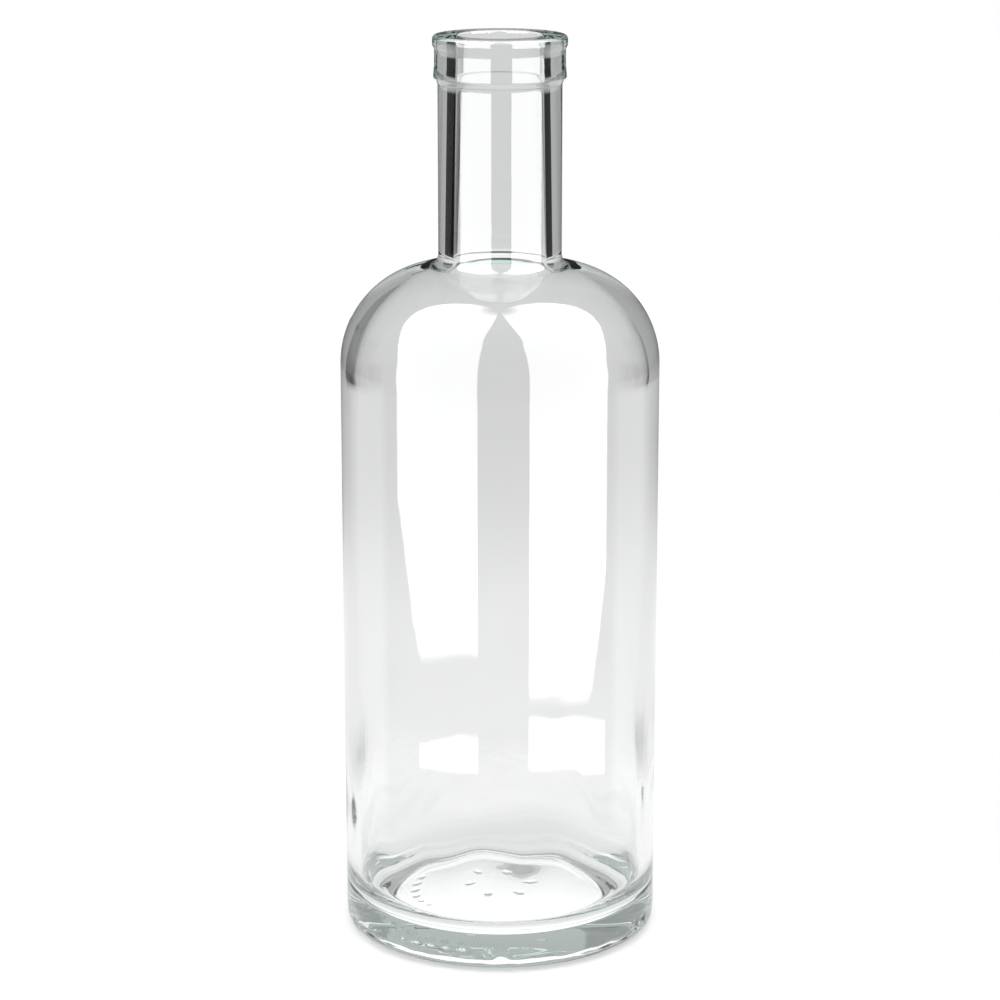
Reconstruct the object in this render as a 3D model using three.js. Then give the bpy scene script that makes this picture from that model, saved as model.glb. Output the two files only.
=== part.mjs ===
// An empty clear-glass liquor bottle, blown in one piece: a straight round body on a heavy base,
// quarter-round shoulders, a straight neck and a bar-top finish for a stopper with a shank.
// Millimetres, +Z up. The origin is the centre of the bearing ring that the bottle stands on.

import * as THREE from "three";

// Outside of the body
const bodyDiameter = 84;
const bodyHeight = 155; // from the standing surface to the start of the shoulder
const heelWidth = 5; // how far the rounded heel runs in under the body
const heelHeight = 3;
const neckDiameter = 32.2;
const neckLength = 48.4; // from the top of the shoulder to the underside of the finish
const rootRadius = 3.2; // fillet between shoulder and neck

// Finish, the thick ring round the mouth
const finishHeight = 11.3;
const bandDiameter = 33.9; // the hollow middle of the ring
const skirtDiameter = 34.4; // its lower edge
const skirtHeight = 3.4; // how far up the lower edge fades into the hollow
const skirtRound = 0.7;
const undercutDrop = 1.3; // the sloping underside, from skirt to neck
const beadDiameter = 34.9;
const beadHeight = 3;
const lipRadius = 1.1; // rounding between the bead and the flat sealing land
const mouthRound = 0.7; // rounding between the sealing land and the bore

// Inside
const mouthBore = 21.5; // diameter at the sealing land
const rootBore = 24.4; // diameter where the neck opens into the shoulder
const wall = 3.5; // of the body
const shoulderDrop = 2.6; // glass over the top of the inner shoulder
const innerRootRadius = 5;
const cornerRadius = 10; // between the inner wall and the floor
const floorHeight = 7.5; // lowest ring of the floor above the standing surface
const floorCrown = 4.5; // how far the middle of the floor stands above that ring

// Underside
const bearingWidth = 3.5; // flat ring that the bottle stands on
const edgeRound = 1.2; // from the bearing ring up into the push-up
const pushUp = 6; // height of the hollow under the base

// Fineness of the rounds
const segmentsAround = 60;
const shoulderSteps = 10;
const cornerSteps = 5;
const smallSteps = 3;
const domeSteps = 5;
const startTurn = Math.PI / segmentsAround; // puts a flat, not a corner, on each main axis

const bodyRadius = bodyDiameter / 2;
const neckRadius = neckDiameter / 2;
const innerRadius = bodyRadius - wall;
const shoulderRadius = bodyRadius - neckRadius; // a true quarter round
const shoulderTop = bodyHeight + shoulderRadius;
const finishBase = shoulderTop + neckLength;
const totalHeight = finishBase + finishHeight;

const point = (radius, height) => new THREE.Vector2(radius, height);

// Points on an ellipse about (centreRadius, centreHeight), both ends included; angles in radians.
function arc(centreRadius, centreHeight, radius, height, from, to, steps) {
  return Array.from({ length: steps + 1 }, (_, i) => {
    const angle = from + ((to - from) * i) / steps;
    return point(
      centreRadius + radius * Math.cos(angle),
      centreHeight + height * Math.sin(angle),
    );
  });
}

// A shallow crown through (0, top) and (radius, top - rise), from the axis outwards.
function crown(radius, top, rise, steps) {
  return Array.from({ length: steps + 1 }, (_, i) => {
    const share = i / steps;
    return point(radius * share, top - rise * share * share);
  });
}

// A quarter-round shoulder centred on the neck's own radius, with its fillet into the neck.
function shoulderAndRoot(neck, body, start, fillet) {
  const round = body - neck;
  const filletHeight = start + Math.sqrt((round + fillet) ** 2 - fillet ** 2);
  const meeting = Math.atan2(filletHeight - start, fillet);
  return [
    ...arc(neck, start, round, round, 0, meeting, shoulderSteps),
    ...arc(
      neck + fillet,
      filletHeight,
      fillet,
      fillet,
      meeting + Math.PI,
      Math.PI,
      smallSteps,
    ).slice(1),
  ];
}

// Underside, from the axis out to the foot of the heel.
function underside() {
  const bearingOuter = bodyRadius - heelWidth;
  const bearingInner = bearingOuter - bearingWidth;
  const domeRadius = bearingInner - edgeRound;
  return [
    ...crown(domeRadius, pushUp, pushUp - edgeRound, domeSteps),
    ...arc(
      bearingInner,
      edgeRound,
      edgeRound,
      edgeRound,
      Math.PI,
      1.5 * Math.PI,
      smallSteps,
    ).slice(1),
    point(bearingOuter, 0),
  ];
}

// Heel, body, shoulder and neck, going up.
function outside() {
  return [
    ...arc(
      bodyRadius - heelWidth,
      heelHeight,
      heelWidth,
      heelHeight,
      -Math.PI / 2,
      0,
      cornerSteps,
    ).slice(1),
    ...shoulderAndRoot(neckRadius, bodyRadius, bodyHeight, rootRadius),
  ];
}

// Finish: sloping underside, skirt, hollow band, bead and rounded lip, going up to the sealing land.
function finish() {
  const skirtRadius = skirtDiameter / 2;
  const bandRadius = bandDiameter / 2;
  const beadRadius = beadDiameter / 2;
  const beadBase = totalHeight - beadHeight;
  return [
    point(neckRadius, finishBase - undercutDrop),
    ...arc(
      skirtRadius - skirtRound,
      finishBase + skirtRound,
      skirtRound,
      skirtRound,
      -Math.PI / 2,
      0,
      smallSteps,
    ),
    point(bandRadius, finishBase + skirtRound + skirtHeight),
    point(bandRadius, beadBase - (beadRadius - bandRadius)),
    point(beadRadius, beadBase + (beadRadius - bandRadius)),
    ...arc(
      beadRadius - lipRadius,
      totalHeight - lipRadius,
      lipRadius,
      lipRadius,
      0,
      Math.PI / 2,
      smallSteps,
    ),
  ];
}

// Inside, from the sealing land down the bore to the middle of the floor.
function inside() {
  const mouthRadius = mouthBore / 2;
  const rootBoreRadius = rootBore / 2;
  const innerShoulder = innerRadius - rootBoreRadius;
  const innerStart = shoulderTop - shoulderDrop - innerShoulder;
  const floorEdge = innerRadius - cornerRadius;
  return [
    ...arc(
      mouthRadius + mouthRound,
      totalHeight - mouthRound,
      mouthRound,
      mouthRound,
      Math.PI / 2,
      Math.PI,
      smallSteps,
    ),
    ...shoulderAndRoot(
      rootBoreRadius,
      innerRadius,
      innerStart,
      innerRootRadius,
    ).reverse(),
    ...arc(
      floorEdge,
      floorHeight + cornerRadius,
      cornerRadius,
      cornerRadius,
      0,
      -Math.PI / 2,
      cornerSteps,
    ),
    ...crown(floorEdge, floorHeight + floorCrown, floorCrown, domeSteps)
      .reverse()
      .slice(1),
  ];
}

// Turns the closed half section, which starts and ends on the axis, into the one glass solid.
function glassGeometry() {
  const section = [...underside(), ...outside(), ...finish(), ...inside()];
  return new THREE.LatheGeometry(section, segmentsAround, startTurn).rotateX(
    Math.PI / 2,
  );
}

const clearGlass = new THREE.MeshStandardMaterial({
  name: "clear_glass",
  color: new THREE.Color(0.93, 0.96, 0.95),
  roughness: 0.04,
  metalness: 0,
  transparent: true,
  opacity: 0.35,
});

const glassBottle = new THREE.Mesh(glassGeometry(), clearGlass);
glassBottle.name = "glass_bottle";

const bottle = new THREE.Group();
bottle.add(glassBottle);

export default bottle;
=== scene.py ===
"""Looks of an empty clear-glass liquor bottle on a white table, seen from the front and a little above."""

import math

import bmesh
import bpy
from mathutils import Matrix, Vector, noise


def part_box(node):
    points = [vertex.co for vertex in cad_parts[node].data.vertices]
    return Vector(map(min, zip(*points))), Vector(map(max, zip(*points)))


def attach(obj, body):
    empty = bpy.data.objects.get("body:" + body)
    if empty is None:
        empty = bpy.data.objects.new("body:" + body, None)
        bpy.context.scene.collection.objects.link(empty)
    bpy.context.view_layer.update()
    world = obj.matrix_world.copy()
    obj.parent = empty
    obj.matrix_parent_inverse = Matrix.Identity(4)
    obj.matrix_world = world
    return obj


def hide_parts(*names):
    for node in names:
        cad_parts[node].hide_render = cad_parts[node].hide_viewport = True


NODE = "glass_bottle"
BODY = "root"

# Fineness of the glass mesh: parts of a turn, steps along the outline and steps in its rounds
TURNS = 216
LONGEST_STEP = 0.0020
FINE_STEP = 0.0006
SHOULDER_STEPS = 40
CORNER_STEPS = 16
ROOT_STEPS = 12
LIP_STEPS = 8
EDGE_STEPS = 6

# Outside of the bottle, in metres; its full radius and height come from the frame
BODY_HEIGHT = 0.1550
HEEL_WIDTH = 0.0050
HEEL_HEIGHT = 0.0030
NECK_RADIUS = 0.0161
ROOT_RADIUS = 0.0032
FINISH_BASE = 0.2293
SKIRT_RADIUS = 0.0172
SKIRT_ROUND = 0.0007
SKIRT_HEIGHT = 0.0034
UNDERCUT_DROP = 0.0013
BAND_RADIUS = 0.01695
BEAD_RADIUS = 0.01745
BEAD_HEIGHT = 0.0030
LIP_ROUND = 0.0011

# Inside
MOUTH_RADIUS = 0.01075
MOUTH_ROUND = 0.0007
ROOT_BORE = 0.0122
WALL = 0.0035
SHOULDER_DROP = 0.0026
INNER_ROOT = 0.0050
CORNER_RADIUS = 0.0100
FLOOR_HEIGHT = 0.0075
FLOOR_CROWN = 0.0045

# Underside
BEARING_WIDTH = 0.0035
EDGE_ROUND = 0.0012
PUSH_UP = 0.0060

# Waves of blown glass: how deep they are and how many there are across and up a metre
INNER_WAVE = 0.00022
INNER_ACROSS = 45
INNER_UP = 22
LOW_WAVE = 0.00075
LOW_ACROSS = 95
LOW_UP = 30
LOW_MIDDLE = 0.048
LOW_REACH = 0.034
HEEL_WAVE = 0.00018
HEEL_ACROSS = 260
HEEL_UP = 300

# Plain raised dots under the base, each a turn in degrees and a distance from the axis
DOTS = [(turn, 0.0225) for turn in (158, 169, 180, 191, 202, 213)]
DOTS += [(turn, 0.0075) for turn in (10, 70, 130, 190, 250, 310)]
DOT_RADIUS = 0.0012
DOT_HEIGHT = 0.0004

# Plain sunk dots on the heel, each a turn in degrees and a height
HEEL_DOTS = [(turn, 0.0068) for turn in (232, 238, 244, 250, 256)]
HEEL_DOTS += [(turn, 0.0050) for turn in (270, 330, 336)]
HEEL_DOT_RADIUS = 0.0017
HEEL_DOT_DEPTH = 0.00070
HEEL_TOP = 0.0110

# Stipple of the ring that the bottle stands on
STIPPLE = 0.00016
STIPPLE_ACROSS = 700
STIPPLE_MIDDLE = 0.0345
STIPPLE_REACH = 0.0045

# Camera: it looks along +Y from in front, a little down
CAMERA_DISTANCE = 0.800
CAMERA_HEIGHT = 0.320
CAMERA_PITCH = 14.21
CAMERA_LENS = 111.6

# Table that the bottle stands on, and what is added to its light for the camera, for glass
# and, as a painted glow that covers the bottle's shadow, for the part under the bottle that is seen through
# it
TABLE_RADIUS = 0.16
TABLE_FADE = 0.05
TABLE_WHITE = 0.9
CAMERA_LIFT = 0.43
GLASS_LIFT = 0.29
PAINTED_GLOW_BENEATH = 0.75
PAINTED_GLOW_START = 0.030
PAINTED_GLOW_END = 0.046

# Lamp overhead
LAMP_SIZE = 0.9
LAMP_POWER = 3.0
LAMP_HEIGHT = 0.9

# Panels that the bottle mirrors: angles in degrees, pairs are the start and end of a soft edge.
# The turn is 0 at the front and 180 at the back, the height is 0 when level. EXTRA is for the right.
GAP = 16
GAP_EXTRA = 5
GAP_CLOSING = 8
CLOSING_HEIGHTS = (45.0, 88.0)
REACH = 79
REACH_EXTRA = 4
REACH_OPENING = 52
OPENING_HEIGHTS = (5.0, 80.0)
CORNER_TURNS = (58.0, 84.0)
CORNER_EXTRA = 8
CORNER_RISE = 3.2
FOOT_HEIGHTS = (-17.3, -16.9)
FOOT_EXTRA = 0.75
TOP_HEIGHTS = (78.0, 88.0)
STRIP_START = (-19.35, -19.2)
STRIP_START_EXTRA = 0.1
STRIP_END = (-18.6, -18.45)
STRIP_END_EXTRA = 0.25
STRIP_SLANT = 0.003
STRIP_TURNS = (60.0, 62.0)
STRIP_TURNS_EXTRA = 24
SIDE_TURNS = (86.0, 98.0)
BACK_TURNS = (118.0, 145.0)
BACK_HEIGHTS = (-17.0, -12.8)

# What rays meet that went through glass, with turns counted from the back
LEVEL_HEIGHTS = (-12.6, -9.4)
DARK_START = 25
DARK_EXTRA = 12
DARK_END = (61.0, 64.0)
DARK_HEIGHTS = (-12.4, -9.6)
DARK_FADING = (-3.0, 6.0)
PALER_HEIGHTS = (-17.5, -12.5)
PALEST_HEIGHTS = (-24.0, -17.5)

# Brightness of what the bottle mirrors and of what is seen through it, where 1 is white
PANEL_LIGHT = 8.0
BESIDE_LIGHT = 1.2
BEHIND_LIGHT = 0.3
FRONT_LIGHT = 0.05
BACKDROP_LIGHT = 0.70
PALER_LIGHT = 0.18
PALEST_LIGHT = 0.06
DARK_LIGHT = 0.01
DARK_FADED = 0.6
WEAK_LOSS = 0.1
WEAK_LEVEL_LOSS = 0.25
DIFFUSE_LIGHT = 0.55

# Tint of the glass along long paths
TINT = (0.72, 0.95, 0.86, 1)
TINT_DENSITY = 5.5

# Light bounces that clear glass needs
ALL_BOUNCES = 32
GLASS_BOUNCES = 24


class Value:
    """A number that varies over a surface: arithmetic on it adds Math nodes."""

    def __init__(self, shader, socket):
        self.shader = shader
        self.socket = socket

    def math(self, operation, *others):
        return self.shader.node("ShaderNodeMath", {"operation": operation}, self, *others)

    def __add__(self, other):
        return self.math("ADD", other)

    def __sub__(self, other):
        return self.math("SUBTRACT", other)

    def __rsub__(self, other):
        return self.shader.node("ShaderNodeMath", {"operation": "SUBTRACT"}, other, self)

    def __mul__(self, other):
        return self.math("MULTIPLY", other)

    def __abs__(self):
        return self.math("ABSOLUTE")

    __radd__ = __add__


class Shader:
    """A node tree that is being built."""

    def __init__(self, tree):
        self.tree = tree
        tree.nodes.clear()

    def node(self, kind, settings=None, *values, output=0, **named):
        """Adds a node: its settings first, then values or links by position, then by socket name."""
        made = self.tree.nodes.new(kind)
        for key, value in (settings or {}).items():
            setattr(made, key, value)
        for key, value in [*enumerate(values), *named.items()]:
            name = key if isinstance(key, int) else key.replace("_", " ")
            if isinstance(value, Value):
                self.tree.links.new(value.socket, made.inputs[name])
            else:
                made.inputs[name].default_value = value
        return Value(self, made.outputs[output]) if made.outputs else made

    def step(self, value, start, end):
        """A smooth step from 0 at start to 1 at end."""
        settings = {"interpolation_type": "SMOOTHSTEP"}
        return self.node("ShaderNodeMapRange", settings, value, start, end, 0.0, 1.0)

    @staticmethod
    def blend(share, low, high):
        """The number low where share is 0 and high where it is 1."""
        return low + share * (high - low)

    def outputs(self, kind, names):
        """Several outputs of one node without inputs."""
        made = self.tree.nodes.new(kind)
        return [Value(self, made.outputs[name]) for name in names]


def arc(centre, radii, start, end, steps):
    """Points on an ellipse about centre, angles in degrees, both ends included."""
    turns = [math.radians(start + (end - start) * i / steps) for i in range(steps + 1)]
    return [(centre[0] + radii[0] * math.cos(t), centre[1] + radii[1] * math.sin(t)) for t in turns]


def crown(radius, top, rise, steps):
    """A shallow dome from the axis out to radius, where it has come down by rise."""
    return [(radius * i / steps, top - rise * (i / steps) ** 2) for i in range(steps + 1)]


def shoulder_and_root(neck, body, start, fillet):
    """A quarter-round shoulder centred on the neck's own radius, with its fillet into the neck."""
    quarter = body - neck
    fillet_height = start + math.sqrt((quarter + fillet) ** 2 - fillet**2)
    meeting = math.degrees(math.atan2(fillet_height - start, fillet))
    shoulder = arc((neck, start), (quarter, quarter), 0, meeting, SHOULDER_STEPS)
    root = arc((neck + fillet, fillet_height), (fillet, fillet), meeting + 180, 180, ROOT_STEPS)
    return shoulder + root[1:]


def underside(radius):
    """From the axis out to the flat ring that the bottle stands on."""
    bearing_outer = radius - HEEL_WIDTH
    bearing_inner = bearing_outer - BEARING_WIDTH
    dome = bearing_inner - EDGE_ROUND
    steps = round(dome / FINE_STEP)
    return [
        *crown(dome, PUSH_UP, PUSH_UP - EDGE_ROUND, steps),
        *arc((bearing_inner, EDGE_ROUND), (EDGE_ROUND, EDGE_ROUND), 180, 270, EDGE_STEPS)[1:],
        (bearing_outer, 0.0),
    ]


def outside(radius):
    """Heel, body, shoulder and neck, going up; the lowest part of the wall is fine enough for dots."""
    heel = arc((radius - HEEL_WIDTH, HEEL_HEIGHT), (HEEL_WIDTH, HEEL_HEIGHT), -90, 0, ROOT_STEPS)
    rows = round((HEEL_TOP - HEEL_HEIGHT) / FINE_STEP)
    low_wall = [(radius, HEEL_HEIGHT + FINE_STEP * i) for i in range(1, rows + 1)]
    return heel[1:] + low_wall + shoulder_and_root(NECK_RADIUS, radius, BODY_HEIGHT, ROOT_RADIUS)


def finish(height):
    """The ring round the mouth: sloping underside, skirt, hollow band, bead and lip."""
    bead_base = height - BEAD_HEIGHT
    step_out = BEAD_RADIUS - BAND_RADIUS
    skirt = (SKIRT_RADIUS - SKIRT_ROUND, FINISH_BASE + SKIRT_ROUND)
    return [
        (NECK_RADIUS, FINISH_BASE - UNDERCUT_DROP),
        *arc(skirt, (SKIRT_ROUND, SKIRT_ROUND), -90, 0, EDGE_STEPS),
        (BAND_RADIUS, FINISH_BASE + SKIRT_ROUND + SKIRT_HEIGHT),
        (BAND_RADIUS, bead_base - step_out),
        (BEAD_RADIUS, bead_base + step_out),
        *arc((BEAD_RADIUS - LIP_ROUND, height - LIP_ROUND), (LIP_ROUND, LIP_ROUND), 0, 90, LIP_STEPS),
    ]


def inside(radius, height):
    """From the sealing land down the bore, over the inner shoulder and wall to the floor's middle."""
    wall = radius - WALL
    start = BODY_HEIGHT + radius - NECK_RADIUS - SHOULDER_DROP - (wall - ROOT_BORE)
    floor_edge = wall - CORNER_RADIUS
    floor_corner = (floor_edge, FLOOR_HEIGHT + CORNER_RADIUS)
    mouth = (MOUTH_RADIUS + MOUTH_ROUND, height - MOUTH_ROUND)
    steps = round(floor_edge / LONGEST_STEP)
    return [
        *arc(mouth, (MOUTH_ROUND, MOUTH_ROUND), 90, 180, EDGE_STEPS),
        *reversed(shoulder_and_root(ROOT_BORE, wall, start, INNER_ROOT)),
        *arc(floor_corner, (CORNER_RADIUS, CORNER_RADIUS), 0, -90, CORNER_STEPS),
        *crown(floor_edge, FLOOR_HEIGHT + FLOOR_CROWN, FLOOR_CROWN, steps)[::-1][1:],
    ]


def even_steps(points):
    """The same outline with its long straight stretches cut into short ones."""
    out = [points[0]]
    for a, b in zip(points, points[1:]):
        pieces = max(1, math.ceil(math.dist(a, b) / LONGEST_STEP))
        for i in range(1, pieces + 1):
            out.append((a[0] + (b[0] - a[0]) * i / pieces, a[1] + (b[1] - a[1]) * i / pieces))
    return out


def glass_mesh(radius, height):
    """Spins the half section round the axis into one closed solid."""
    outline = [*underside(radius), *outside(radius), *finish(height), *inside(radius, height)]
    section = even_steps(outline)
    bm = bmesh.new()
    corners = [bm.verts.new((r, 0.0, z)) for r, z in section]
    edges = [bm.edges.new(pair) for pair in zip(corners, corners[1:])]
    bmesh.ops.spin(
        bm,
        geom=corners + edges,
        cent=(0, 0, 0),
        axis=(0, 0, 1),
        angle=math.tau,
        steps=TURNS,
        use_merge=True,
    )
    bmesh.ops.remove_doubles(bm, verts=bm.verts, dist=1e-6)
    bmesh.ops.recalc_face_normals(bm, faces=bm.faces)
    return bm


def bell(value, middle, half_width):
    """A smooth hump: 1 at middle, 0 from half_width away."""
    share = max(0.0, 1 - abs(value - middle) / half_width)
    return share * share * (3 - 2 * share)


def wall_push(x, y, z):
    """How far the inner wall stands out at a point: slow waves, and strong upright ones low down."""
    slow = noise.noise(Vector((x * INNER_ACROSS, y * INNER_ACROSS, z * INNER_UP))) * INNER_WAVE
    upright = noise.noise(Vector((x * LOW_ACROSS, y * LOW_ACROSS, z * LOW_UP + 7))) * LOW_WAVE
    return slow + upright * bell(z, LOW_MIDDLE, LOW_REACH)


def base_lift(x, y, r):
    """How far the underside stands up from its plain form: a stipple, less the dots that stand down."""
    grain = abs(noise.noise(Vector((x * STIPPLE_ACROSS, y * STIPPLE_ACROSS, 3))))
    stipple = grain * STIPPLE * bell(r, STIPPLE_MIDDLE, STIPPLE_REACH)
    dot = 0.0
    for degrees, distance in DOTS:
        place = math.radians(degrees)
        gap = math.hypot(x - distance * math.cos(place), y - distance * math.sin(place))
        dot = max(dot, bell(gap, 0.0, DOT_RADIUS))
    return stipple - dot * DOT_HEIGHT


def heel_push(x, y, z):
    """How far the heel stands in: a slight wave, and the sunk dots."""
    place = Vector((x * HEEL_ACROSS, y * HEEL_ACROSS, z * HEEL_UP))
    wave = HEEL_WAVE * (0.6 - noise.noise(place)) * bell(z, HEEL_HEIGHT, HEEL_HEIGHT)
    r = math.hypot(x, y)
    dot = 0.0
    for degrees, height in HEEL_DOTS:
        turn = math.radians(degrees)
        across = math.hypot(x - r * math.cos(turn), y - r * math.sin(turn))
        dot = max(dot, bell(math.hypot(across, z - height), 0.0, HEEL_DOT_RADIUS))
    return wave + dot * HEEL_DOT_DEPTH


def on_inner_wall(r, z, wall):
    """Whether a point lies on the inner wall or the outer part of the floor, below the shoulder's top."""
    return wall * 0.6 < r < wall + 0.001 and FLOOR_HEIGHT + 0.001 < z < BODY_HEIGHT + 0.03


def on_underside(r, z, radius):
    """Whether a point lies on the ring that the bottle stands on or in the push-up."""
    bearing_outer = radius - HEEL_WIDTH
    on_ring = r < bearing_outer + 0.0002 and z < 0.0003
    in_push_up = r < bearing_outer - BEARING_WIDTH and z < PUSH_UP * (1 - (r / radius) ** 2) + 0.0005
    return on_ring or in_push_up


def uneven(bm, radius):
    """Gives the plain spun form the waves of blown glass and the marks of its mould at the base."""
    for v in bm.verts:
        x, y, z = v.co
        r = math.hypot(x, y)
        if r < 1e-5:
            continue
        if on_underside(r, z, radius):
            v.co.z = max(0.0, z + base_lift(x, y, r))
        elif on_inner_wall(r, z, radius - WALL):
            push = wall_push(x, y, z)
            v.co.x += x / r * push
            v.co.y += y / r * push
        elif r > radius - HEEL_WIDTH and z < HEEL_TOP:
            push = heel_push(x, y, z)
            v.co.x -= x / r * push
            v.co.y -= y / r * push


def make_piece(name, bm):
    """A finished piece from its bmesh, smooth all over."""
    mesh = bpy.data.meshes.new(name)
    for face in bm.faces:
        face.smooth = True
    bm.to_mesh(mesh)
    bm.free()
    piece = bpy.data.objects.new(name, mesh)
    bpy.context.scene.collection.objects.link(piece)
    return piece


def clear_glass():
    """Clear glass with a faint green tint along long paths through it."""
    material = bpy.data.materials.new("clear_glass")
    material.use_nodes = True
    shader = Shader(material.node_tree)
    place = shader.node("ShaderNodeTexCoord", output="Object")
    film = shader.node("ShaderNodeTexNoise", None, Vector=place, Scale=60.0, Detail=3.0)
    ripple = shader.node("ShaderNodeTexNoise", None, Vector=place, Scale=90.0, Detail=1.0)
    bump = shader.node("ShaderNodeBump", None, Strength=0.02, Distance=0.0005, Height=ripple)
    surface = shader.node(
        "ShaderNodeBsdfPrincipled",
        None,
        Base_Color=(1.0, 1.0, 1.0, 1),
        Roughness=shader.step(film, 0.5, 0.8) * 0.02,
        IOR=1.52,
        Transmission_Weight=1.0,
        Normal=bump,
    )
    tint = shader.node("ShaderNodeVolumeAbsorption", None, Color=TINT, Density=TINT_DENSITY)
    shader.node("ShaderNodeOutputMaterial", None, Surface=surface, Volume=tint)
    return material


def table_white():
    """White table: it takes the bottle's shadow, and fades out round its edge; under the bottle, where it is
    seen through the glass, a painted glow covers that shadow.
    """
    material = bpy.data.materials.new("table_white")
    material.use_nodes = True
    shader = Shader(material.node_tree)
    camera, glossy, through = shader.outputs(
        "ShaderNodeLightPath", ("Is Camera Ray", "Is Glossy Ray", "Is Transmission Ray")
    )
    place = shader.node("ShaderNodeTexCoord", output="Object")
    away = shader.node("ShaderNodeVectorMath", {"operation": "LENGTH"}, place, output="Value")
    # Painted glow: under the bottle, for rays through the glass, the table glows to cover the bottle's
    # shadow
    painted_glow_mask = 1 - shader.step(away, PAINTED_GLOW_START, PAINTED_GLOW_END)
    lift_and_painted_glow = camera * CAMERA_LIFT + through * painted_glow_mask * PAINTED_GLOW_BENEATH + glossy * GLASS_LIFT
    white = shader.node("ShaderNodeBsdfDiffuse", None, Color=(TABLE_WHITE, TABLE_WHITE, TABLE_WHITE, 1))
    glow = shader.node("ShaderNodeEmission", None, Strength=lift_and_painted_glow)
    lit = shader.node("ShaderNodeAddShader", None, white, glow)
    clear = shader.node("ShaderNodeBsdfTransparent")
    edge = shader.step(away, TABLE_RADIUS - TABLE_FADE, TABLE_RADIUS)
    shader.node("ShaderNodeOutputMaterial", None, shader.node("ShaderNodeMixShader", None, edge, lit, clear))
    return material


def make_table():
    """A round table top, part of the stage."""
    bm = bmesh.new()
    bmesh.ops.create_circle(bm, cap_ends=True, segments=96, radius=TABLE_RADIUS)
    table = make_piece("table_top", bm)
    table.data.materials.append(table_white())


def mirrored_light(shader, turn, height, right, level):
    """What the outer skin mirrors: a tall bright panel with a low strip under it on either side of a
    gap at the front, paler sides and a dim back. Angles are in degrees."""
    gap = GAP + right * GAP_EXTRA - shader.step(height, *CLOSING_HEIGHTS) * GAP_CLOSING
    reach = REACH + right * REACH_EXTRA + shader.step(height, *OPENING_HEIGHTS) * REACH_OPENING
    corner = shader.step(turn - right * CORNER_EXTRA, *CORNER_TURNS) * CORNER_RISE
    foot = height - corner + right * FOOT_EXTRA
    tall = shader.step(foot, *FOOT_HEIGHTS) * (1 - shader.step(height, *TOP_HEIGHTS))
    slant = turn * STRIP_SLANT * (1 - right)
    above = height - slant - right * STRIP_START_EXTRA
    under = height + slant - right * STRIP_END_EXTRA
    low = shader.step(above, *STRIP_START) * (1 - shader.step(under, *STRIP_END))
    low = low * (1 - shader.step(turn - right * STRIP_TURNS_EXTRA, *STRIP_TURNS))
    across = shader.step(turn - gap, -0.5, 0.5) * (1 - shader.step(turn - reach, -0.7, 0.7))
    panel = across * (tall + low)
    side = shader.step(turn, *SIDE_TURNS) * (1 - level)
    back = shader.blend(shader.step(height, *BACK_HEIGHTS), 1.0, BEHIND_LIGHT)
    beside = shader.blend(shader.step(turn, *BACK_TURNS), BESIDE_LIGHT, back)
    return shader.blend(panel, shader.blend(side, FRONT_LIGHT, beside), PANEL_LIGHT)


def light_through_glass(shader, turn, height, right, level, reflections):
    """What rays meet that went through glass: a pale backdrop, paler low down, with a dark space on
    either side behind the bottle for rays that are nearly level. Weak rays, which were reflected
    twice or more inside the glass, meet less light."""
    aside = 180 - turn
    dark = (
        shader.step(aside - (DARK_START + right * DARK_EXTRA), 0.0, 2.0)
        * (1 - shader.step(aside, *DARK_END))
        * shader.step(height, *DARK_HEIGHTS)
        * (1 - shader.step(height, *DARK_FADING) * DARK_FADED)
    )
    paler = (1 - shader.step(height, *PALER_HEIGHTS)) * PALER_LIGHT
    palest = (1 - shader.step(height, *PALEST_HEIGHTS)) * PALEST_LIGHT
    pale = BACKDROP_LIGHT + paler + palest
    weak = shader.step(reflections, 1.2, 1.8)
    return shader.blend(dark, pale, DARK_LIGHT) * (1 - weak * (WEAK_LOSS + level * WEAK_LEVEL_LOSS))


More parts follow.
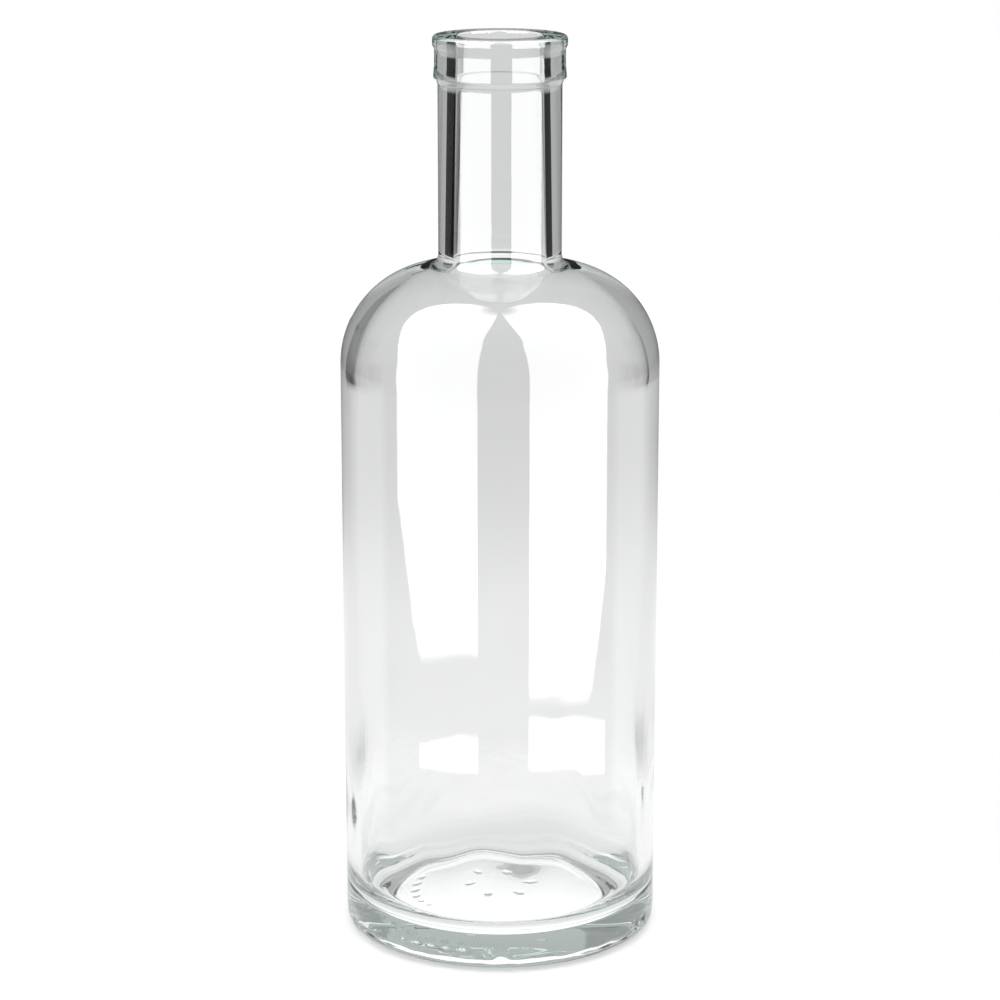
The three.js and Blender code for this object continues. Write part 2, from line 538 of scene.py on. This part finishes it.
def studio_world():
    """White to the camera, a plain sky to the table, and one light for what the bottle's skin mirrors
    and another for what is seen through it."""
    world = bpy.data.worlds.new("studio")
    bpy.context.scene.world = world
    world.use_nodes = True
    world.cycles.sampling_method = "NONE"
    shader = Shader(world.node_tree)
    names = ("Is Camera Ray", "Is Diffuse Ray", "Transmission Depth", "Ray Depth")
    camera, diffuse, passes, depth = shader.outputs("ShaderNodeLightPath", names)
    way = shader.node("ShaderNodeTexCoord", output="Generated")
    parts = shader.tree.nodes.new("ShaderNodeSeparateXYZ")
    shader.tree.links.new(way.socket, parts.inputs[0])
    x, y, z = (Value(shader, parts.outputs[i]) for i in range(3))
    degree = 180 / math.pi
    height = z.math("ARCSINE") * degree
    turn = abs(x.math("ARCTAN2", 0 - y)) * degree
    right = shader.step(x, -0.01, 0.01)
    level = shader.step(height, *LEVEL_HEIGHTS)

    mirrored = mirrored_light(shader, turn, height, right, level)
    seen_through = light_through_glass(shader, turn, height, right, level, depth - passes)
    bright = shader.blend(passes.math("GREATER_THAN", 0.5), mirrored, seen_through)
    bright = shader.blend(diffuse, bright, DIFFUSE_LIGHT)
    bright = shader.blend(camera, bright, 1.0)
    sky = shader.node("ShaderNodeBackground", None, Color=(1, 1, 1, 1), Strength=bright)
    shader.node("ShaderNodeOutputWorld", None, Surface=sky)


def make_camera():
    """A camera in front of the bottle, level from side to side."""
    data = bpy.data.cameras.new("camera")
    data.lens = CAMERA_LENS
    camera = bpy.data.objects.new("camera", data)
    camera.location = (0.0, -CAMERA_DISTANCE, CAMERA_HEIGHT)
    camera.rotation_euler = (math.radians(90 - CAMERA_PITCH), 0, 0)
    bpy.context.scene.collection.objects.link(camera)
    bpy.context.scene.camera = camera


def make_lamp():
    """A wide soft lamp overhead, which gives the table its light."""
    data = bpy.data.lights.new("overhead", "AREA")
    data.size = LAMP_SIZE
    data.energy = LAMP_POWER
    lamp = bpy.data.objects.new("overhead", data)
    lamp.location = (0, -0.1, LAMP_HEIGHT)
    lamp.visible_glossy = False
    lamp.visible_transmission = False
    lamp.visible_camera = False
    bpy.context.scene.collection.objects.link(lamp)


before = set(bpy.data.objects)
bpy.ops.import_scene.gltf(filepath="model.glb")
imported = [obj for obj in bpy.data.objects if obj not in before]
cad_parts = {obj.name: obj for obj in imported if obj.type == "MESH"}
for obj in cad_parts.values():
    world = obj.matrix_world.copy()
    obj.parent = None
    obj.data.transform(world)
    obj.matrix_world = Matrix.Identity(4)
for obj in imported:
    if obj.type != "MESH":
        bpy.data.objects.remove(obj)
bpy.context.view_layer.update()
low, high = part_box(NODE)
full_radius = (high.x - low.x) / 2
full_height = high.z

make_camera()

glass = glass_mesh(full_radius, full_height)
uneven(glass, full_radius)
bottle = make_piece("clear_bottle", glass)
bottle.data.materials.append(clear_glass())
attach(bottle, BODY)
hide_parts(NODE)

make_table()
make_lamp()
studio_world()
scene = bpy.context.scene
scene.view_settings.view_transform = "Standard"
scene.cycles.max_bounces = ALL_BOUNCES
scene.cycles.glossy_bounces = GLASS_BOUNCES
scene.cycles.transmission_bounces = GLASS_BOUNCES
